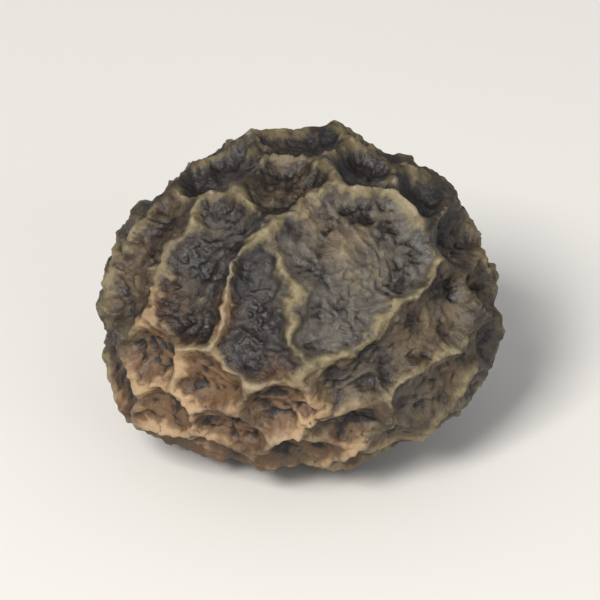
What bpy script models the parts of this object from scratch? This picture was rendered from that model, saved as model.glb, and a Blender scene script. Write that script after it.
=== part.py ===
"""A black peppercorn: one whole dried berry, its skin shrunk into a raised net of ridges.

Metres, +Z up. The berry rests on a small flat spot at z = 0, with the middle of its width and
depth over the origin. Its front, where two sunken cells lie side by side inside a ring of
ridges, looks along -Y and up.

The skin starts as a ball of even triangles. Cells are scattered over the ball, and a formula
raises each point by where it lies among them: the borders between cells become ridges, and
the cells themselves sink between them. Directions on the ball are unit vectors, so a
distance there is an angle in radians.
"""
import math
import random

import bmesh
import bpy
import numpy as np
from mathutils import Vector, noise

MM = 0.001

# Driving dimensions: the whole berry over its ridges, and the flat spot it rests on
WIDTH = 5.4 * MM
DEPTH = 5.2 * MM
HEIGHT = 4.25 * MM
REST_SPOT = 1.5 * MM

# The main net: strong ridges round sunken cells, each cell at its own level
NET_RIDGE_HEIGHT = 0.165 * MM
NET_RIDGE_WIDTH = 0.155 * MM
CELL_DISH = 0.10 * MM
CELL_STEP = 0.055 * MM
NET_POINTS = 128
JOINED_SHARE = 0.25
NET_WEAKEST = 0.55
NET_FADED_SHARE = 0.15

# The fine net: low wrinkles across the cells' floors
FINE_RIDGE_HEIGHT = 0.04 * MM
FINE_RIDGE_WIDTH = 0.09 * MM
FINE_POINTS = 360
FINE_ON_RIDGES = 0.7
FINE_WEAKEST = 0.2
FINE_FADED_SHARE = 0.4

# Broad unevenness of the whole berry
LUMP_HEIGHT = 0.07 * MM

# The round scar where the berry sat on its spike, low at the back: a pit inside a low lip. The
# nets start to come back at the first share of its radius and are whole at the second
SCAR_DIRECTION = Vector((0.30, 0.80, -0.52)).normalized()
SCAR_RADIUS = 0.50 * MM
SCAR_DEPTH = 0.16 * MM
SCAR_LIP = 0.08 * MM
SCAR_LIP_WIDTH = 0.28
SCAR_FLOOR = 0.5
SCAR_CLEARS = (0.8, 1.7)

# The skin is plain at the flat spot, and its nets are whole at this many times the spot's angle
SPOT_CLEARS = 1.8

# The cells of the front face, which is seen from this far above level. Each cell is one or more
# points along its middle, as shares of the half width across and the half height up
FRONT_ELEVATION = math.radians(30)
FRONT_CELLS = (
    ((-0.17, 0.12), (-0.24, -0.10), (-0.18, -0.34)),
    ((0.12, 0.42), (0.36, 0.44), (0.08, 0.20), (0.28, 0.14), (0.46, 0.18), (0.36, -0.02), (0.14, -0.20)),
    ((-0.38, 0.46), (-0.50, 0.20), (-0.56, -0.06)),
    ((-0.66, 0.50), (-0.82, 0.24), (-0.88, -0.02)),
    ((-0.10, 0.66),),
    ((-0.44, 0.74),),
    ((0.06, 0.90),),
    ((0.34, 0.80),),
    ((0.64, 0.62),),
    ((0.82, 0.38),),
    ((0.95, 0.10),),
    ((0.76, -0.08), (0.60, -0.22), (0.44, -0.38), (0.22, -0.50)),
    ((0.92, -0.26), (0.80, -0.44), (0.62, -0.60)),
    ((-0.44, -0.50),),
    ((-0.76, -0.32),),
    ((-0.10, -0.62),),
    ((0.24, -0.76),),
    ((-0.66, -0.64),),
    ((0.48, -0.80),),
    ((-0.34, -0.78),),
    ((0.02, -0.92),),
)
FRONT_CLEARANCE = 0.26

# The berry swells low on its left and a little on its right: where in the front view, how far,
# and the angle over which a swelling falls off
SWELLINGS = (((-0.82, -0.56), 0.25 * MM), ((0.80, -0.59), 0.12 * MM))
SWELLING_ANGLE = 0.40

# Smooth noise is given by its frequency and a shift that sets it apart from the others
LUMP_NOISE = (1.6, 40.1)

# Shares that wander over the berry: the mean, the least and the most, and then how far each
# smooth noise changes the share
RIDGE_WIDTH_VARIES = (1.0, 0.5, 1.5, ((0.5, 3.0, 5.5),))
RIDGE_HEIGHT_VARIES = (0.95, 0.2, 1.25, ((0.7, 4.5, 1.7), (0.25, 13.0, 61.7)))
WRINKLE_PATCHES = (0.8, 0.1, 1.2, ((1.3, 3.0, 12.5),))

# How borders meander: how far smooth noise pushes them, then its frequency and shift
NET_MEANDER = ((0.05, 3.2, 3.1), (0.035, 9.0, 8.3))
FINE_MEANDER = ((0.08, 5.0, 21.3), (0.02, 17.0, 33.3))

# Each new point of a net is the best spaced of this many: few make the cells uneven in size
NET_EVENNESS = 3
FINE_EVENNESS = 8

# Seeds of the random draws
NET_SEED = 11
JOIN_SEED = 5
NET_STRENGTH_SEED = 4
LEVEL_SEED = 6
FINE_SEED = 23
FINE_STRENGTH_SEED = 9

# The formula's softness: a ridge is half as high at this many softnesses from its crest
HALF_HEIGHT = math.acosh(math.sqrt(2))
DISH_SOFTNESS = 0.07
CREST_ROUNDING = 1.5
NEAR_POINTS = 8

# Triangles along each edge of the icosahedron that the ball grows from, and the share of
# triangles kept once the flatter stretches are thinned out
BALL_FREQUENCY = 64
KEPT_SHARE = 0.139

SKIN_COLOUR = (0.045, 0.036, 0.027, 1.0)
SKIN_ROUGHNESS = 0.55


def clear_scene():
    """Remove whatever the file opened with."""
    for obj in list(bpy.data.objects):
        bpy.data.objects.remove(obj, do_unlink=True)


def ball(frequency):
    """A closed ball of radius 1 in even triangles."""
    bm = bmesh.new()
    bmesh.ops.create_icosphere(bm, subdivisions=1, radius=1.0)
    bmesh.ops.subdivide_edges(bm, edges=bm.edges[:], cuts=frequency - 1, use_grid_fill=True)
    for vert in bm.verts:
        vert.co.normalize()
    return bm


def wave(points, frequency, shift):
    """Smooth noise from -1 to 1 over the points."""
    offset = Vector((shift, 0.7 * shift, -shift))
    return np.array([noise.noise(Vector(point) * frequency + offset) for point in points])


def varied(points, mean, least, most, changes):
    """A share that wanders over the points with smooth noise."""
    share = mean + sum(change * wave(points, frequency, shift) for change, frequency, shift in changes)
    return np.clip(share, least, most)


def bent(points, meander):
    """The unit points pushed aside by smooth noise, so that straight borders meander."""
    axis_shift = 9.7
    out = points.copy()
    for amount, frequency, shift in meander:
        for axis in range(3):
            out[:, axis] += amount * wave(points, frequency, shift + axis_shift * axis)
    return out / np.linalg.norm(out, axis=1, keepdims=True)


def step(low, high, value):
    """A smooth rise from 0 at low to 1 at high."""
    t = np.clip((value - low) / (high - low), 0, 1)
    return t * t * (3 - 2 * t)


def angle_from(points, direction):
    """The angle between each unit point and a direction."""
    return np.arccos(np.clip(points @ np.array(direction), -1, 1))


def front_direction(across, up):
    """The unit direction whose point on the berry shows at (across, up) in the front view."""
    rise = HEIGHT * math.cos(FRONT_ELEVATION)
    run = DEPTH * math.sin(FRONT_ELEVATION)
    tilt = math.atan2(run, rise)
    toward = math.sqrt(max(0.0, 1 - across * across - up * up))
    out = Vector((0, -math.cos(tilt), math.sin(tilt))) * toward
    out += Vector((0, math.sin(tilt), math.cos(tilt))) * up
    out += Vector((1, 0, 0)) * across
    return out.normalized()


def random_direction(draw):
    """A unit direction, any one as likely as another."""
    z = draw.uniform(-1, 1)
    turn = draw.uniform(0, 2 * math.pi)
    flat = math.sqrt(1 - z * z)
    return Vector((flat * math.cos(turn), flat * math.sin(turn), z))


def scattered(count, seed, evenness, fixed=(), clearance=0.0):
    """Spread directions over the ball: the fixed ones, then random ones into the gaps."""
    draw = random.Random(seed)
    found = list(fixed)
    while len(found) < count:
        best = None
        best_gap = -1.0
        for _ in range(evenness):
            point = random_direction(draw)
            while any((point - other).length < clearance for other in fixed):
                point = random_direction(draw)
            gap = min(((point - other).length for other in found), default=2.0)
            if gap > best_gap:
                best = point
                best_gap = gap
        found.append(best)
    return np.array(found)


def net_cells():
    """The main net's points, the cell that each belongs to, and how many lie on the front."""
    fixed = [front_direction(*spot) for cell in FRONT_CELLS for spot in cell]
    points = scattered(NET_POINTS, NET_SEED, NET_EVENNESS, fixed, FRONT_CLEARANCE)
    owner = np.arange(NET_POINTS)
    start = 0
    for cell in FRONT_CELLS:
        owner[start:start + len(cell)] = start
        start += len(cell)
    draw = random.Random(JOIN_SEED)
    for number in range(start, NET_POINTS):
        if draw.random() < JOINED_SHARE:
            gaps = np.linalg.norm(points[start:] - points[number], axis=1)
            gaps[number - start] = 2.0
            owner[number] = owner[start + int(gaps.argmin())]
    return points, owner, start


def strengths(count, seed, weakest, faded_share, whole=0):
    """How high the ridge between each two cells is. None fades that touches the first cells."""
    faded_height = 0.3
    draw = np.random.default_rng(seed)
    table = draw.uniform(weakest, 1.0, (count, count))
    faded = draw.random((count, count)) < faded_share
    faded[:whole] = False
    table[faded] *= faded_height
    table = np.triu(table, 1)
    return table + table.T


def near(points, centres):
    """The nearest few centres to each point, and how far away they are."""
    gap = np.sqrt(np.maximum(2 - 2 * points @ centres.T, 0))
    order = np.sort(np.argpartition(gap, NEAR_POINTS, axis=1)[:, :NEAR_POINTS], axis=1)
    return order, np.take_along_axis(gap, order, axis=1)


def shares(gap, softness):
    """How much each point belongs to each of its near centres. The shares sum to 1."""
    share = np.exp(-(gap - gap.min(axis=1, keepdims=True)) / np.reshape(softness, (-1, 1)))
    return share / share.sum(axis=1, keepdims=True)


def ridge(cells, share, table):
    """About 1 on the border between two cells, falling to 0 inside either."""
    total = np.zeros(len(share))
    for i in range(NEAR_POINTS):
        for j in range(i + 1, NEAR_POINTS):
            total += 4 * share[:, i] * share[:, j] * table[cells[:, i], cells[:, j]]
    return total


def main_net(points):
    """How near each point is to a crest, from 0 to 1, and the main net's height there."""
    centres, owner, front = net_cells()
    order, gap = near(bent(points, NET_MEANDER), centres)
    cells = owner[order]
    softness = NET_RIDGE_WIDTH / WIDTH / HALF_HEIGHT * varied(points, *RIDGE_WIDTH_VARIES)
    table = strengths(NET_POINTS, NET_STRENGTH_SEED, NET_WEAKEST, NET_FADED_SHARE, front)
    border = ridge(cells, shares(gap, softness), table) * varied(points, *RIDGE_HEIGHT_VARIES)
    crest = (1 - np.exp(-CREST_ROUNDING * border)) / (1 - math.exp(-CREST_ROUNDING))
    broad = shares(gap, DISH_SOFTNESS)
    dish = 1 - ridge(cells, broad, 1 - np.eye(NET_POINTS))
    levels = np.random.default_rng(LEVEL_SEED).uniform(-1, 1, NET_POINTS)
    level = (broad * levels[cells]).sum(axis=1)
    return crest, NET_RIDGE_HEIGHT * crest - CELL_DISH * dish + CELL_STEP * level


def fine_net(points, crest):
    """Height of the low wrinkles, which come in patches and are lower on the strong ridges."""
    order, gap = near(bent(points, FINE_MEANDER), scattered(FINE_POINTS, FINE_SEED, FINE_EVENNESS))
    softness = FINE_RIDGE_WIDTH / WIDTH / HALF_HEIGHT
    table = strengths(FINE_POINTS, FINE_STRENGTH_SEED, FINE_WEAKEST, FINE_FADED_SHARE)
    wrinkle = ridge(order, shares(gap, softness), table) * varied(points, *WRINKLE_PATCHES)
    return FINE_RIDGE_HEIGHT * wrinkle * (1 - (1 - FINE_ON_RIDGES) * crest)


def scar(points):
    """Height of the scar, a shallow pit in a low lip, and how much of the nets is left there."""
    angle = angle_from(points, SCAR_DIRECTION)
    edge = SCAR_RADIUS / (DEPTH / 2)
    lip = np.exp(-((angle - edge) / (SCAR_LIP_WIDTH * edge)) ** 2)
    pit = 1 - step(SCAR_FLOOR * edge, edge, angle)
    near_end, far_end = SCAR_CLEARS
    return SCAR_LIP * lip - SCAR_DEPTH * pit, step(near_end * edge, far_end * edge, angle)


def swollen(points):
    """Height of the swellings."""
    height = np.zeros(len(points))
    for spot, rise in SWELLINGS:
        height += rise * np.exp(-(angle_from(points, front_direction(*spot)) / SWELLING_ANGLE) ** 2)
    return height


def raised(points):
    """The ball's unit points moved to the berry's wrinkled skin.

    The strongest crests lie on the plain berry's surface and the cells below it. The nets fade
    out round the flat spot, so that nothing reaches lower than it does.
    """
    crest, height = main_net(points)
    scar_height, left = scar(points)
    height = (height + fine_net(points, crest) - NET_RIDGE_HEIGHT) * left + scar_height
    height += LUMP_HEIGHT * wave(points, *LUMP_NOISE) + swollen(points)
    spot = REST_SPOT / WIDTH
    height *= step(spot, SPOT_CLEARS * spot, angle_from(points, Vector((0, 0, -1))))
    half = np.array((WIDTH, DEPTH, HEIGHT)) / 2
    outward = points / half
    outward /= np.linalg.norm(outward, axis=1, keepdims=True)
    return points * half + outward * height[:, None]


def fitted(body):
    """The skin at the berry's width, depth and height, low enough for the flat spot's cut."""
    underside_radius = WIDTH * WIDTH / (2 * HEIGHT)
    cut_away = (REST_SPOT / 2) ** 2 / (2 * underside_radius)
    lowest = body.min(axis=0)
    highest = body.max(axis=0)
    out = (body - (lowest + highest) / 2) / (highest - lowest)
    out *= np.array((WIDTH, DEPTH, HEIGHT + cut_away))
    out[:, 2] += (HEIGHT - cut_away) / 2
    return out


def skin_material():
    """Dark, dull dried skin."""
    material = bpy.data.materials.new("dried_skin")
    material.use_nodes = True
    shader = material.node_tree.nodes["Principled BSDF"]
    shader.inputs["Base Color"].default_value = SKIN_COLOUR
    shader.inputs["Roughness"].default_value = SKIN_ROUGHNESS
    shader.inputs["Metallic"].default_value = 0.0
    return material


def floor_cutter():
    """A block whose top is the plane z = 0, which cuts the flat spot."""
    size = 2 * WIDTH
    bm = bmesh.new()
    bmesh.ops.create_cube(bm, size=size)
    bmesh.ops.translate(bm, verts=bm.verts[:], vec=(0, 0, -size / 2))
    mesh = bpy.data.meshes.new("floor_cutter")
    bm.to_mesh(mesh)
    bm.free()
    cutter = bpy.data.objects.new("floor_cutter", mesh)
    cutter.hide_render = True
    cutter.display_type = "WIRE"
    bpy.context.scene.collection.objects.link(cutter)
    return cutter


def peppercorn():
    """The whole berry, thinned out where it is flatter and cut level underneath."""
    bm = ball(BALL_FREQUENCY)
    points = np.array([vert.co[:] for vert in bm.verts])
    for vert, place in zip(bm.verts, fitted(raised(points))):
        vert.co = place
    mesh = bpy.data.meshes.new("peppercorn")
    bm.to_mesh(mesh)
    bm.free()
    mesh.shade_smooth()
    mesh.materials.append(skin_material())
    berry = bpy.data.objects.new("peppercorn", mesh)
    bpy.context.scene.collection.objects.link(berry)
    thin = berry.modifiers.new("thin", "DECIMATE")
    thin.ratio = KEPT_SHARE
    cut = berry.modifiers.new("flat_spot", "BOOLEAN")
    cut.object = floor_cutter()
    cut.operation = "DIFFERENCE"


clear_scene()
peppercorn()
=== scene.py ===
"""The looks of a black peppercorn: its finely wrinkled dried skin, on a pale floor in soft light.

Metres, +Z up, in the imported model's own frame. The skin starts as a ball of even triangles, and
a formula raises each point by where it lies among cells scattered over the ball: the borders
between cells become ridges, and the cells sink between them. The main net is the solid's own.
The sharper crests, the wrinkles in the cells, the creases, the folds and the grain are added here.

Directions on the ball are unit vectors, so a distance there is an angle in radians.
"""
import math
import random

import bmesh
import bpy
import numpy as np
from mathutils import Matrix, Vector, noise


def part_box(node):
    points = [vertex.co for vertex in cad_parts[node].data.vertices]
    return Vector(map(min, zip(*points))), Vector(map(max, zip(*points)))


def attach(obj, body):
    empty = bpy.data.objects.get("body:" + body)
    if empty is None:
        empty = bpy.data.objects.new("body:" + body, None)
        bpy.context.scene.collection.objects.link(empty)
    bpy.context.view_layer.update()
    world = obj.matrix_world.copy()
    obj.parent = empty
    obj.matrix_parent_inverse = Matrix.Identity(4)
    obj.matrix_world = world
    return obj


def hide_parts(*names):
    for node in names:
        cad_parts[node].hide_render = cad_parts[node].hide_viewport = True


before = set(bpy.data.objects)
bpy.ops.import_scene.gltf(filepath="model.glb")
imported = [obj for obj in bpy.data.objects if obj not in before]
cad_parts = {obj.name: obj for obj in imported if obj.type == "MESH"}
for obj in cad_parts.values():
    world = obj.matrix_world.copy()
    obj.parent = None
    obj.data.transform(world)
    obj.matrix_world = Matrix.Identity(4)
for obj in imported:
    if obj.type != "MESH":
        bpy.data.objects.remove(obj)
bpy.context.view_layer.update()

MM = 0.001
NODE = "peppercorn"

# The whole berry over its ridges comes from the solid. The flat spot is as wide as the solid's
LOW, HIGH = (np.array(corner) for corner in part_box(NODE))
WIDTH, DEPTH, HEIGHT = HIGH - LOW
REST_SPOT = 1.5 * MM

# The main net, as in the solid: strong ridges round sunken cells, each cell at its own level.
# Away from the front, a share of its points join the cell of the point nearest to them
NET_RIDGE_HEIGHT = 0.165 * MM
NET_RIDGE_WIDTH = 0.155 * MM
CELL_DISH = 0.10 * MM
CELL_STEP = 0.055 * MM
NET_POINTS = 128
JOINED_SHARE = 0.25
NET_WEAKEST = 0.55
NET_FADED_SHARE = 0.15

# Finer relief: a thin edge on the crests, which lean to one side, wrinkles across the cells,
# creases sunk across both, thin folds that wander everywhere, and the skin's grain
CREST_EDGE_HEIGHT = 0.035 * MM
CREST_EDGE_POWER = 4
CREST_LEAN = 0.08 * MM
LEAN_FREQUENCY = 3.7
LEAN_SHIFTS = (81.1, 87.7, 95.3)
WRINKLE_HEIGHT = 0.10 * MM
WRINKLE_WIDTH = 0.10 * MM
WRINKLE_POINTS = 380
WRINKLE_ON_RIDGES = 0.4
WRINKLE_IN_CELLS = 0.45
CREASE_DEPTH = 0.05 * MM
CREASE_WIDTH = 0.05 * MM
CREASE_POINTS = 1600
SMALL_WEAKEST = 0.15
SMALL_FADED_SHARE = 0.35
FOLD_HEIGHT = 0.045 * MM
FOLD_SHARPNESS = 5.0
FOLD_ON_RIDGES = 0.5
GRAIN_HEIGHT = 0.006 * MM

# Each ridge of a net has its own strength, from the net's weakest to 1. Where it has faded, this
# share of it is left
FADED_HEIGHT = 0.3

# How far the skin stands out is measured against its average over this many rounds of
# neighbours, many for the ridges and few for their edges, and counted in these heights
BROAD_ROUNDS = 200
BROAD_HEIGHT = 0.10 * MM
CLOSE_ROUNDS = 10
CLOSE_HEIGHT = 0.015 * MM

# Broad unevenness of the whole berry
LUMP_HEIGHT = 0.07 * MM

# The round scar where the berry sat on its spike, low at the back: a pit inside a low lip. The
# nets start to come back at the first share of its radius and are whole at the second
SCAR_DIRECTION = Vector((0.30, 0.80, -0.52)).normalized()
SCAR_RADIUS = 0.50 * MM
SCAR_DEPTH = 0.16 * MM
SCAR_LIP = 0.08 * MM
SCAR_LIP_WIDTH = 0.28
SCAR_FLOOR = 0.5
SCAR_CLEARS = (0.8, 1.7)

# The skin is plain at the flat spot, and its nets are whole at this many times the spot's angle
SPOT_CLEARS = 1.8

# The cells of the front face, which is seen from this far above level. Each cell is one or more
# points along its middle, as shares of the half width across and the half height up
FRONT_ELEVATION = math.radians(30)
FRONT_CELLS = (
    ((-0.17, 0.12), (-0.24, -0.10), (-0.18, -0.34)),
    ((0.12, 0.42), (0.36, 0.44), (0.08, 0.20), (0.28, 0.14), (0.46, 0.18), (0.36, -0.02), (0.14, -0.20)),
    ((-0.38, 0.46), (-0.50, 0.20), (-0.56, -0.06)),
    ((-0.66, 0.50), (-0.82, 0.24), (-0.88, -0.02)),
    ((-0.10, 0.66),),
    ((-0.44, 0.74),),
    ((0.06, 0.90),),
    ((0.34, 0.80),),
    ((0.64, 0.62),),
    ((0.82, 0.38),),
    ((0.95, 0.10),),
    ((0.76, -0.08), (0.60, -0.22), (0.44, -0.38), (0.22, -0.50)),
    ((0.92, -0.26), (0.80, -0.44), (0.62, -0.60)),
    ((-0.44, -0.50),),
    ((-0.76, -0.32),),
    ((-0.10, -0.62),),
    ((0.24, -0.76),),
    ((-0.66, -0.64),),
    ((0.48, -0.80),),
    ((-0.34, -0.78),),
    ((0.02, -0.92),),
)

# No random point of the main net lies nearer than this to one of these
FRONT_CLEARANCE = 0.26

# The berry swells low on its left and a little on its right: where in the front view, how far,
# and the angle over which a swelling falls off
SWELLINGS = (((-0.82, -0.56), 0.25 * MM), ((0.80, -0.59), 0.12 * MM))
SWELLING_ANGLE = 0.40

# The two cells in the middle of the front are smoother: where, the share of their wrinkles that
# is left, and the angles from there at which the wrinkles start to come back and are whole
CALM_SPOT = (-0.02, 0.10)
CALM_SHARE = 0.35
CALM_CLEARS = (0.35, 0.75)

# A cell's tint is how brown it is, from 0 for charcoal, and how light, from 0 for dark: these two
# a quarter turn from the tan side, their rise up to its middle, and how far chance changes them
CELL_TINT = (0.50, 0.36)
TINT_RISE = (0.40, 0.33)
TINT_CHANCE = 0.30

# The two cells in the middle of the front, by their first points, are charcoal: one dark, and one light,
# whose lightness is a painted sheen. A pale ring runs round them
MIDDLE_CELLS = [0, len(FRONT_CELLS[0])]
MIDDLE_TINTS = ((0.0, 0.15), (0.15, 0.75))

# Smooth noise is given by its frequency and a shift that sets it apart from the others. Along Y
# the shift counts for this share of itself
NOISE_SLANT = 0.7
LUMP_NOISE = (1.6, 40.1)
FOLD_NOISE = (11.0, 35.9)
GRAIN_NOISE = (30.0, 17.3)

# Shares that wander over the berry: the mean, the least and the most, and then how far each
# smooth noise changes the share. The ridges' height has one fine noise more than in the solid
RIDGE_WIDTH_VARIES = (1.0, 0.5, 1.5, ((0.5, 3.0, 5.5),))
RIDGE_HEIGHT_VARIES = (0.95, 0.2, 1.25, ((0.7, 4.5, 1.7), (0.25, 13.0, 61.7), (0.1, 32.0, 44.3)))
WRINKLE_PATCHES = (0.8, 0.1, 1.2, ((1.3, 3.0, 12.5),))
CREASE_PATCHES = (0.8, 0.25, 1.2, ((1.2, 3.6, 71.3),))

# How borders meander: how far smooth noise pushes them, then its frequency and its shift, which
# grows by this from axis to axis. The main net's last one, which only frays its edges, isn't in
# the solid
AXIS_SHIFT = 9.7
NET_MEANDER = ((0.05, 3.2, 3.1), (0.035, 9.0, 8.3), (0.012, 26.0, 12.9))
WRINKLE_MEANDER = ((0.08, 5.0, 21.3), (0.03, 17.0, 33.3))
CREASE_MEANDER = ((0.05, 8.0, 91.7), (0.015, 31.0, 53.9))
FOLD_MEANDER = ((0.14, 3.1, 23.7), (0.05, 8.0, 47.1))

# Each new point of a net is the best spaced of this many: few make the cells uneven in size
NET_EVENNESS = 3
SMALL_EVENNESS = 8

# Seeds of the random draws
NET_SEED = 11
JOIN_SEED = 5
NET_STRENGTH_SEED = 4
LEVEL_SEED = 6
TINT_SEED = 120
WRINKLE_SEED = 23
WRINKLE_STRENGTH_SEED = 9
CREASE_SEED = 31
CREASE_STRENGTH_SEED = 8

# How soft a border is, as an angle, sets the width of its ridge, which is half as high at this
# many softnesses from its crest. The cells' dish has a wide softness of its own
HALF_HEIGHT = math.acosh(math.sqrt(2))
DISH_SOFTNESS = 0.07

# How much the main net's crests are rounded, and how many of the nearest points a net counts
CREST_ROUNDING = 1.5
NEAR_POINTS = 8

# The longest straight gap between two points of the ball, and how many points of the skin are
# worked out at once, which saves memory
LONGEST_GAP = 2.0
POINTS_AT_ONCE = 8000

# Triangles along each edge of the icosahedron that the ball grows from
BALL_FREQUENCY = 98

# The pale tan side of the berry: its direction, the angles where it is whole and gone, and how
# far smooth noise frays its edge
TAN_DIRECTION = Vector((-0.42, -0.81, -0.41)).normalized()
TAN_WHOLE = 0.30
TAN_GONE = 1.15
TAN_FRAY = 0.5
TAN_NOISE = (4.2, 66.6)

# The noises of the skin's material: scale, detail, roughness and, for the grain, distortion
BLOTCH = (900.0, 4.0, 0.6)
DUST = (2600.0, 6.0, 0.65)
SPECK = (9000.0, 3.0, 0.6)
GRAIN = (12000.0, 5.0, 0.6, 0.4)

# Colours in the cells, each dark and light
CHARCOAL = ((0.014, 0.012, 0.013, 1), (0.080, 0.070, 0.058, 1))
EARTH = ((0.024, 0.015, 0.009, 1), (0.118, 0.084, 0.048, 1))
RUST = ((0.034, 0.015, 0.007, 1), (0.120, 0.067, 0.033, 1))

# Colours on the ridges, each dark and light, and what they are multiplied by next to dark cells
# and next to light ones
OLIVE = ((0.046, 0.034, 0.019, 1), (0.168, 0.136, 0.075, 1))
CREAM = ((0.10, 0.055, 0.027, 1), (0.28, 0.185, 0.102, 1))
RIDGE_SHADE = ((0.65, 0.62, 0.58, 1), (1.14, 1.14, 1.14, 1))

# Colours of rubbed edges, of deep hollows, whose dark is partly the skin's own and partly painted shade,
# and of dark specks
WORN_COLOUR = (0.31, 0.26, 0.175, 1)
HOLLOW_DARK_AND_SHADE_COLOUR = (0.010, 0.007, 0.006, 1)
SPECK_COLOUR = (0.03, 0.022, 0.016, 1)

# Shares of the colours: how far a noise shifts the skin's own value, and then the values at which
# the share is 0 and 1
TAN_SHARE = (1.5, 0.1, 0.9)
BROWN_SHARE = (2.5, 0.15, 0.85)
LIGHT_SHARE = (2.5, 0.0, 1.0)
WORN_SHARE = (3.0, 1.6, 2.8)

# How much a fine edge counts beside the broad relief, and how far the dust shifts their sum
EDGE_GAIN = 0.22
DUST_ON_RELIEF = 5.0

# Values at which a share without such a shift is 0 and 1, how much the ring adds to how pale the
# ridges are, and how strong the wear is at most
RIDGE_SPAN = (0.0, 1.35)
# The hollows' span: how far below the broad relief the painted shade, with the skin's own dark, starts
# and is whole
HOLLOW_DARK_AND_SHADE_SPAN = (-0.40, -1.25)
SPECK_SPAN = (0.60, 0.74)
PALE_SPAN = (0.43, 0.57)
RING_GAIN = 0.10
WORN_MOST = 0.45

# The skin's surface: how rough it is from little dust to much, its specular level, and how high
# its grain is
ROUGHNESS = {"From Min": 0.40, "From Max": 0.60, "To Min": 0.34, "To Max": 0.58}
SPECULAR_LEVEL = 0.40
GRAIN_BUMP = 0.03 * MM

# The camera looks down at the berry from the photo's angle, through a lens in millimetres
CAMERA_LENS = 300.0
CAMERA_DISTANCE = 0.066
CAMERA_AIM = Vector((0.0, 0.0, 0.0020))
CAMERA_CLIP = (0.001, 10.0)

# The floor, and the light from all round
FLOOR_COLOUR = (0.70, 0.69, 0.67, 1.0)
FLOOR_ROUGHNESS = 0.8
FLOOR_SIZE = 1.0
WORLD_COLOUR = (1.0, 1.0, 1.0, 1.0)
WORLD_STRENGTH = 0.40

# The lamps: where each stands, how long its side is, its power in watts and its colour
LAMPS = {
    "key": ((-0.048, -0.096, 0.100), 0.048, 0.268, (1.0, 0.97, 0.92)),
    "fill": ((0.070, -0.110, 0.040), 0.090, 0.06, (0.95, 0.97, 1.0)),
}


def ball(frequency):
    """A closed ball of radius 1 in even triangles."""
    bm = bmesh.new()
    bmesh.ops.create_icosphere(bm, subdivisions=1, radius=1.0)
    bmesh.ops.subdivide_edges(bm, edges=bm.edges[:], cuts=frequency - 1, use_grid_fill=True)
    for vert in bm.verts:
        vert.co.normalize()
    return bm


def wave(points, frequency, shift):
    """Smooth noise from -1 to 1 over the points."""
    offset = Vector((shift, NOISE_SLANT * shift, -shift))
    return np.array([noise.noise(Vector(point) * frequency + offset) for point in points])


def varied(points, mean, least, most, changes):
    """A share that wanders over the points with smooth noise."""
    share = mean + sum(change * wave(points, frequency, shift) for change, frequency, shift in changes)
    return np.clip(share, least, most)


def bent(points, meander):
    """The unit points pushed aside by smooth noise, so that straight borders meander."""
    out = points.copy()
    for amount, frequency, shift in meander:
        for axis in range(3):
            out[:, axis] += amount * wave(points, frequency, shift + AXIS_SHIFT * axis)
    return out / np.linalg.norm(out, axis=1, keepdims=True)


def step(low, high, value):
    """A smooth rise from 0 at low to 1 at high."""
    t = np.clip((value - low) / (high - low), 0, 1)
    return t * t * (3 - 2 * t)


def angle_from(points, direction):
    """The angle between each unit point and a direction."""
    return np.arccos(np.clip(points @ np.array(direction), -1, 1))


def front_direction(across, up):
    """The unit direction whose point on the berry shows at (across, up) in the front view."""
    rise = HEIGHT * math.cos(FRONT_ELEVATION)
    run = DEPTH * math.sin(FRONT_ELEVATION)
    tilt = math.atan2(run, rise)
    toward = math.sqrt(max(0.0, 1 - across * across - up * up))
    out = Vector((0, -math.cos(tilt), math.sin(tilt))) * toward
    out += Vector((0, math.sin(tilt), math.cos(tilt))) * up
    out += Vector((1, 0, 0)) * across
    return out.normalized()


def random_direction(draw):
    """A unit direction, any one as likely as another."""
    z = draw.uniform(-1, 1)
    turn = draw.uniform(0, 2 * math.pi)
    flat = math.sqrt(1 - z * z)
    return Vector((flat * math.cos(turn), flat * math.sin(turn), z))


def scattered(count, seed, evenness, fixed=(), clearance=0.0):
    """Spread directions over the ball: the fixed ones, then random ones into the gaps."""
    draw = random.Random(seed)
    found = list(fixed)
    while len(found) < count:
        best = None
        best_gap = -1.0
        for _ in range(evenness):
            point = random_direction(draw)
            while any((point - other).length < clearance for other in fixed):
                point = random_direction(draw)
            gap = min(((point - other).length for other in found), default=LONGEST_GAP)
            if gap > best_gap:
                best = point
                best_gap = gap
        found.append(best)
    return np.array(found)


def net_cells():
    """The main net's points, the cell that each belongs to, and how many lie on the front."""
    fixed = [front_direction(*spot) for cell in FRONT_CELLS for spot in cell]
    points = scattered(NET_POINTS, NET_SEED, NET_EVENNESS, fixed, FRONT_CLEARANCE)
    owner = np.arange(NET_POINTS)
    start = 0
    for cell in FRONT_CELLS:
        owner[start:start + len(cell)] = start
        start += len(cell)
    draw = random.Random(JOIN_SEED)
    for number in range(start, NET_POINTS):
        if draw.random() < JOINED_SHARE:
            gaps = np.linalg.norm(points[start:] - points[number], axis=1)
            gaps[number - start] = LONGEST_GAP
            owner[number] = owner[start + int(gaps.argmin())]
    return points, owner, start


def strengths(count, seed, weakest, faded_share, whole=0):
    """How high the ridge between each two cells is. None fades that touches the first cells."""
    draw = np.random.default_rng(seed)
    table = draw.uniform(weakest, 1.0, (count, count))
    faded = draw.random((count, count)) < faded_share
    faded[:whole] = False
    table[faded] *= FADED_HEIGHT
    table = np.triu(table, 1)
    return table + table.T


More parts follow.
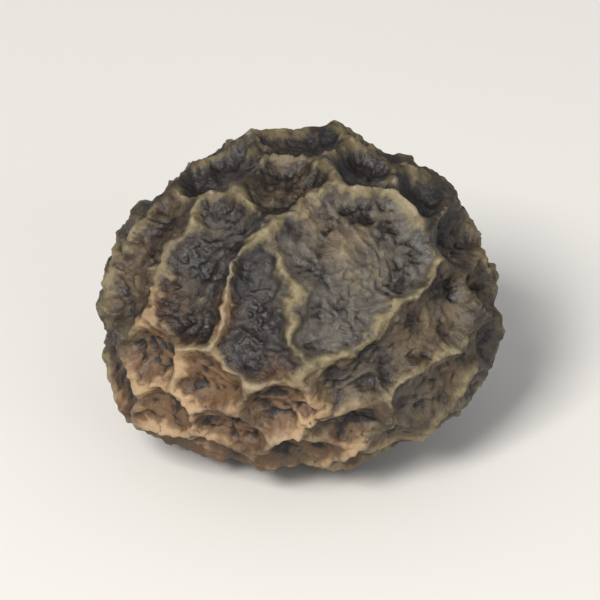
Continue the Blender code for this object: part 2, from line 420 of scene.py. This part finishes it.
def near(points, centres):
    """The nearest few centres to each point, and how far away they are.

    The square of the gap between two unit vectors is 2 less twice their product.
    """
    order = []
    gaps = []
    for part in np.array_split(points, 1 + len(points) // POINTS_AT_ONCE):
        gap = np.sqrt(np.maximum(2 - 2 * part @ centres.T, 0))
        nearest = np.sort(np.argpartition(gap, NEAR_POINTS, axis=1)[:, :NEAR_POINTS], axis=1)
        order.append(nearest)
        gaps.append(np.take_along_axis(gap, nearest, axis=1))
    return np.concatenate(order), np.concatenate(gaps)


def shares(gap, softness):
    """How much each point belongs to each of its near centres. The shares sum to 1."""
    share = np.exp(-(gap - gap.min(axis=1, keepdims=True)) / np.reshape(softness, (-1, 1)))
    return share / share.sum(axis=1, keepdims=True)


def ridge(cells, share, table):
    """About 1 on the border between two cells, falling to 0 inside either.

    Each cell's share is a half on the border, so four times their product is 1 there.
    """
    total = np.zeros(len(share))
    for i in range(NEAR_POINTS):
        for j in range(i + 1, NEAR_POINTS):
            total += 4 * share[:, i] * share[:, j] * table[cells[:, i], cells[:, j]]
    return total


def cell_tints(centres):
    """Each cell's tint: browner and lighter towards the tan side, and partly by chance."""
    toward = centres @ np.array(TAN_DIRECTION)
    chance = np.random.default_rng(TINT_SEED).uniform(-TINT_CHANCE, TINT_CHANCE, (NET_POINTS, 2))
    tints = np.clip(CELL_TINT + np.outer(toward, TINT_RISE) + chance, 0, 1)
    # The second middle cell is made light as a painted sheen
    tints[MIDDLE_CELLS] = MIDDLE_TINTS
    return tints


def middle_borders():
    """1 for each border of the two middle cells and 0 for the others."""
    table = np.zeros((NET_POINTS, NET_POINTS))
    table[MIDDLE_CELLS, :] = 1
    table[:, MIDDLE_CELLS] = 1
    np.fill_diagonal(table, 0)
    return table


def main_net(points):
    """The main net: how near each point is to a crest, how deep in a cell, its look and height."""
    centres, owner, front = net_cells()
    order, gap = near(bent(points, NET_MEANDER), centres)
    cells = owner[order]
    softness = NET_RIDGE_WIDTH / WIDTH / HALF_HEIGHT * varied(points, *RIDGE_WIDTH_VARIES)
    share = shares(gap, softness)
    table = strengths(NET_POINTS, NET_STRENGTH_SEED, NET_WEAKEST, NET_FADED_SHARE, front)
    border = ridge(cells, share, table) * varied(points, *RIDGE_HEIGHT_VARIES)
    crest = (1 - np.exp(-CREST_ROUNDING * border)) / (1 - math.exp(-CREST_ROUNDING))
    broad = shares(gap, DISH_SOFTNESS)
    dish = 1 - ridge(cells, broad, 1 - np.eye(NET_POINTS))
    levels = np.random.default_rng(LEVEL_SEED).uniform(-1, 1, NET_POINTS)
    level = (broad * levels[cells]).sum(axis=1)
    tint = (share[:, :, None] * cell_tints(centres)[cells]).sum(axis=1)
    look = {"brown": tint[:, 0], "light": tint[:, 1], "ring": ridge(cells, share, middle_borders())}
    return crest, dish, look, NET_RIDGE_HEIGHT * crest - CELL_DISH * dish + CELL_STEP * level


def small_net(points, count, seed, strength_seed, width, meander, patches):
    """A net of small ridges, from 0 to about 1, which comes in patches."""
    order, gap = near(bent(points, meander), scattered(count, seed, SMALL_EVENNESS))
    table = strengths(count, strength_seed, SMALL_WEAKEST, SMALL_FADED_SHARE)
    return ridge(order, shares(gap, width / WIDTH / HALF_HEIGHT), table) * varied(points, *patches)


def folds(points):
    """Thin folds of the skin, from 0 to 1, along the lines where smooth noise passes zero."""
    return np.exp(-FOLD_SHARPNESS * np.abs(wave(bent(points, FOLD_MEANDER), *FOLD_NOISE)))


def averaged(values, edges, rounds):
    """The values averaged with their neighbours' along the mesh's edges, so many times over."""
    first, second = edges.T
    size = len(values)
    count = np.bincount(first, minlength=size) + np.bincount(second, minlength=size)
    for _ in range(rounds):
        total = np.bincount(first, values[second], size) + np.bincount(second, values[first], size)
        values = (values + total / count) / 2
    return values


def scar(points):
    """Height of the scar, and how much of the nets is left there."""
    angle = angle_from(points, SCAR_DIRECTION)
    edge = SCAR_RADIUS / (DEPTH / 2)
    lip = np.exp(-((angle - edge) / (SCAR_LIP_WIDTH * edge)) ** 2)
    pit = 1 - step(SCAR_FLOOR * edge, edge, angle)
    near_end, far_end = SCAR_CLEARS
    return SCAR_LIP * lip - SCAR_DEPTH * pit, step(near_end * edge, far_end * edge, angle)


def swollen(points):
    """Height of the swellings."""
    height = np.zeros(len(points))
    for spot, rise in SWELLINGS:
        height += rise * np.exp(-(angle_from(points, front_direction(*spot)) / SWELLING_ANGLE) ** 2)
    return height


def with_fine_relief(points, height, crest, dish):
    """The main net's height with its crests' edges, the wrinkles, the folds and the creases."""
    wrinkle = small_net(points, WRINKLE_POINTS, WRINKLE_SEED, WRINKLE_STRENGTH_SEED, WRINKLE_WIDTH,
                        WRINKLE_MEANDER, WRINKLE_PATCHES)
    crease = small_net(points, CREASE_POINTS, CREASE_SEED, CREASE_STRENGTH_SEED, CREASE_WIDTH,
                       CREASE_MEANDER, CREASE_PATCHES)
    calm = step(*CALM_CLEARS, angle_from(points, front_direction(*CALM_SPOT)))
    calm = CALM_SHARE + (1 - CALM_SHARE) * calm
    spur = 1 - (1 - WRINKLE_IN_CELLS) * dish
    height = height + CREST_EDGE_HEIGHT * crest ** CREST_EDGE_POWER
    height += WRINKLE_HEIGHT * wrinkle * calm * spur * (1 - (1 - WRINKLE_ON_RIDGES) * crest)
    height += FOLD_HEIGHT * folds(points) * (1 - (1 - FOLD_ON_RIDGES) * crest)
    return height - CREASE_DEPTH * crease


def off_the_spot(points):
    """From 0 on the flat spot, where the skin is plain, to 1 where its relief is whole."""
    spot = REST_SPOT / WIDTH
    return step(spot, SPOT_CLEARS * spot, angle_from(points, Vector((0, 0, -1))))


def leaning(points, outward):
    """Which way a crest leans at each point, along the skin, and how strongly."""
    aside = np.stack([wave(points, LEAN_FREQUENCY, shift) for shift in LEAN_SHIFTS], axis=1)
    return aside - outward * (aside * outward).sum(axis=1, keepdims=True)


def skin(points, edges):
    """The ball's unit points moved to the wrinkled skin, and what the skin's colour follows."""
    crest, dish, look, height = main_net(points)
    scar_height, left = scar(points)
    clear = off_the_spot(points)
    height = with_fine_relief(points, height, crest, dish)
    height = (height - NET_RIDGE_HEIGHT) * left + scar_height
    height += GRAIN_HEIGHT * wave(points, *GRAIN_NOISE)
    height += LUMP_HEIGHT * wave(points, *LUMP_NOISE) + swollen(points)
    height *= clear
    half = np.array((WIDTH, DEPTH, HEIGHT)) / 2
    outward = points / half
    outward /= np.linalg.norm(outward, axis=1, keepdims=True)
    lean = CREST_LEAN * crest * left * clear
    body = points * half + outward * height[:, None] + leaning(points, outward) * lean[:, None]
    tan_edge = angle_from(points, TAN_DIRECTION) + TAN_FRAY * wave(points, *TAN_NOISE)
    look["tan"] = 1 - step(TAN_WHOLE, TAN_GONE, tan_edge)
    look["relief"] = (height - averaged(height, edges, BROAD_ROUNDS)) / BROAD_HEIGHT
    look["edge"] = (height - averaged(height, edges, CLOSE_ROUNDS)) / CLOSE_HEIGHT
    return body, look


def fitted(body):
    """The skin at the solid's width, depth and height, flattened where it rests."""
    underside_radius = WIDTH * WIDTH / (2 * HEIGHT)
    cut_away = (REST_SPOT / 2) ** 2 / (2 * underside_radius)
    lowest = body.min(axis=0)
    highest = body.max(axis=0)
    out = (body - (lowest + highest) / 2) / (highest - lowest)
    out *= np.array((WIDTH, DEPTH, HEIGHT + cut_away))
    out[:, :2] += (LOW + HIGH)[:2] / 2
    out[:, 2] += (HEIGHT - cut_away) / 2
    out[:, 2] = np.maximum(out[:, 2], 0)
    return out


def put(name, data):
    """A new object in the scene."""
    made = bpy.data.objects.new(name, data)
    bpy.context.scene.collection.objects.link(made)
    return made


def feed(tree, socket, value):
    """Link the socket to another one, or set it to a value."""
    if isinstance(value, bpy.types.NodeSocket):
        tree.links.new(value, socket)
    else:
        socket.default_value = value


def add(tree, kind, inputs=None, **settings):
    """A new node with these settings and inputs."""
    made = tree.nodes.new(kind)
    for name, value in settings.items():
        setattr(made, name, value)
    for name, value in (inputs or {}).items():
        feed(tree, made.inputs[name], value)
    return made


def grey_noise(tree, place, scale, detail, roughness, distortion=0.0):
    """Smooth noise from 0 to 1 over the skin."""
    made = add(tree, "ShaderNodeTexNoise", {"Vector": place, "Scale": scale, "Detail": detail,
                                            "Roughness": roughness, "Distortion": distortion})
    return made.outputs["Fac"]


def spread(tree, value, low, high):
    """The value stretched so that low gives 0 and high gives 1."""
    made = add(tree, "ShaderNodeMapRange", {"Value": value, "From Min": low, "From Max": high},
               interpolation_type="SMOOTHSTEP")
    return made.outputs["Result"]


def blend(tree, share, first, second, how="MIX"):
    """Two colours mixed by a share."""
    made = add(tree, "ShaderNodeMix", data_type="RGBA", blend_type=how)
    for name, value in (("Factor_Float", share), ("A_Color", first), ("B_Color", second)):
        feed(tree, next(s for s in made.inputs if s.identifier == name), value)
    return next(s for s in made.outputs if s.identifier == "Result_Color")


def arithmetic(tree, how, first, second):
    """Arithmetic on two numbers, each a value or a socket."""
    made = add(tree, "ShaderNodeMath", operation=how)
    for socket, value in zip(made.inputs, (first, second)):
        feed(tree, socket, value)
    return made.outputs["Value"]


def shifted(tree, value, grey, amount):
    """The value moved up where the noise is above its middle and down where it is below."""
    middle = 0.5
    above = arithmetic(tree, "SUBTRACT", grey, middle)
    return arithmetic(tree, "ADD", value, arithmetic(tree, "MULTIPLY", above, amount))


def frayed(tree, value, grey, amount, low, high):
    """The value shifted by the noise and then stretched so that low gives 0 and high gives 1."""
    return spread(tree, shifted(tree, value, grey, amount), low, high)


def fact(tree, name):
    """One of the skin's own values, stored at its points."""
    return add(tree, "ShaderNodeAttribute", attribute_name=name).outputs["Fac"]


def skin_colour(tree, place, dust):
    """Charcoal to rust in the cells, olive to cream on the ridges, worn edges, and hollows darkened
    partly by the skin's own dark and partly by painted shade.
    """
    blotch = grey_noise(tree, place, *BLOTCH)
    speck = grey_noise(tree, place, *SPECK)
    tan = frayed(tree, fact(tree, "tan"), blotch, *TAN_SHARE)
    brown = frayed(tree, fact(tree, "brown"), blotch, *BROWN_SHARE)
    light = frayed(tree, fact(tree, "light"), dust, *LIGHT_SHARE)
    ring = arithmetic(tree, "MULTIPLY", fact(tree, "ring"), RING_GAIN)
    pale = spread(tree, arithmetic(tree, "ADD", blotch, ring), *PALE_SPAN)

    charcoal = blend(tree, light, *CHARCOAL)
    earth = blend(tree, light, *EARTH)
    rust = blend(tree, light, *RUST)
    cell_colour = blend(tree, tan, blend(tree, brown, charcoal, earth), rust)
    olive = blend(tree, pale, *OLIVE)
    cream = blend(tree, pale, *CREAM)
    shade = blend(tree, light, *RIDGE_SHADE)
    ridge_colour = blend(tree, 1.0, blend(tree, tan, olive, cream), shade, "MULTIPLY")

    edge = arithmetic(tree, "MULTIPLY", fact(tree, "edge"), EDGE_GAIN)
    relief = shifted(tree, arithmetic(tree, "ADD", fact(tree, "relief"), edge), dust, DUST_ON_RELIEF)
    worn = arithmetic(tree, "MULTIPLY", frayed(tree, relief, speck, *WORN_SHARE), WORN_MOST)
    colour = blend(tree, spread(tree, relief, *RIDGE_SPAN), cell_colour, ridge_colour)
    colour = blend(tree, worn, colour, WORN_COLOUR)
    # Painted shade, with some of the skin's own dark, darkens the deep hollows
    colour = blend(tree, spread(tree, relief, *HOLLOW_DARK_AND_SHADE_SPAN), colour, HOLLOW_DARK_AND_SHADE_COLOUR)
    return blend(tree, spread(tree, speck, *SPECK_SPAN), colour, SPECK_COLOUR)


def skin_material():
    """The dried skin: dull with a slight sheen, and finely grained."""
    material = bpy.data.materials.new("dried_skin")
    material.use_nodes = True
    tree = material.node_tree
    shader = tree.nodes["Principled BSDF"]
    place = add(tree, "ShaderNodeTexCoord").outputs["Object"]
    dust = grey_noise(tree, place, *DUST)
    feed(tree, shader.inputs["Base Color"], skin_colour(tree, place, dust))
    rough = add(tree, "ShaderNodeMapRange", {"Value": dust, **ROUGHNESS})
    feed(tree, shader.inputs["Roughness"], rough.outputs["Result"])
    shader.inputs["Specular IOR Level"].default_value = SPECULAR_LEVEL
    grain = grey_noise(tree, place, *GRAIN)
    bump = add(tree, "ShaderNodeBump", {"Strength": 1.0, "Distance": GRAIN_BUMP, "Height": grain})
    feed(tree, shader.inputs["Normal"], bump.outputs["Normal"])
    return material


def peppercorn_skin():
    """The whole berry's fine skin, which stands for the solid."""
    bm = ball(BALL_FREQUENCY)
    mesh = bpy.data.meshes.new("peppercorn_skin")
    bm.to_mesh(mesh)
    bm.free()
    points = np.empty(3 * len(mesh.vertices), np.float32)
    edges = np.empty(2 * len(mesh.edges), np.int32)
    mesh.vertices.foreach_get("co", points)
    mesh.edges.foreach_get("vertices", edges)
    body, look = skin(points.reshape(-1, 3).astype(float), edges.reshape(-1, 2))
    mesh.vertices.foreach_set("co", fitted(body).astype(np.float32).ravel())
    mesh.update()
    mesh.shade_smooth()
    for name, values in look.items():
        layer = mesh.attributes.new(name, "FLOAT", "POINT")
        layer.data.foreach_set("value", values.astype(np.float32))
    mesh.materials.append(skin_material())
    piece = put("peppercorn_skin", mesh)
    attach(piece, "root")
    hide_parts(NODE)


def pale_floor():
    """A plain pale floor."""
    half = FLOOR_SIZE / 2
    corners = [(-half, -half, 0), (half, -half, 0), (half, half, 0), (-half, half, 0)]
    mesh = bpy.data.meshes.new("floor")
    mesh.from_pydata(corners, [], [(0, 1, 2, 3)])
    material = bpy.data.materials.new("floor")
    material.use_nodes = True
    shader = material.node_tree.nodes["Principled BSDF"]
    shader.inputs["Base Color"].default_value = FLOOR_COLOUR
    shader.inputs["Roughness"].default_value = FLOOR_ROUGHNESS
    mesh.materials.append(material)
    floor = put("floor", mesh)


def soft_light(name, place, size, power, colour):
    """A square lamp that shines at the berry."""
    lamp = bpy.data.lights.new(name, "AREA")
    lamp.size = size
    lamp.energy = power
    lamp.color = colour
    holder = put(name, lamp)
    holder.location = place
    holder.rotation_euler = (CAMERA_AIM - Vector(place)).to_track_quat("-Z", "Y").to_euler()


def studio():
    """Soft white light all round, a key lamp from the upper left and a weaker one from the right."""
    world = bpy.data.worlds.new("studio")
    world.use_nodes = True
    background = world.node_tree.nodes["Background"]
    background.inputs["Color"].default_value = WORLD_COLOUR
    background.inputs["Strength"].default_value = WORLD_STRENGTH
    bpy.context.scene.world = world
    bpy.context.scene.view_settings.view_transform = "Standard"
    for name, settings in LAMPS.items():
        soft_light(name, *settings)


def camera():
    """The camera, in front of the berry and looking down at it."""
    lens = bpy.data.cameras.new("camera")
    lens.lens = CAMERA_LENS
    lens.clip_start, lens.clip_end = CAMERA_CLIP
    holder = put("camera", lens)
    back = Vector((0, -math.cos(FRONT_ELEVATION), math.sin(FRONT_ELEVATION)))
    holder.location = CAMERA_AIM + back * CAMERA_DISTANCE
    holder.rotation_euler = (-back).to_track_quat("-Z", "Y").to_euler()
    bpy.context.scene.camera = holder


camera()
studio()
pale_floor()
peppercorn_skin()
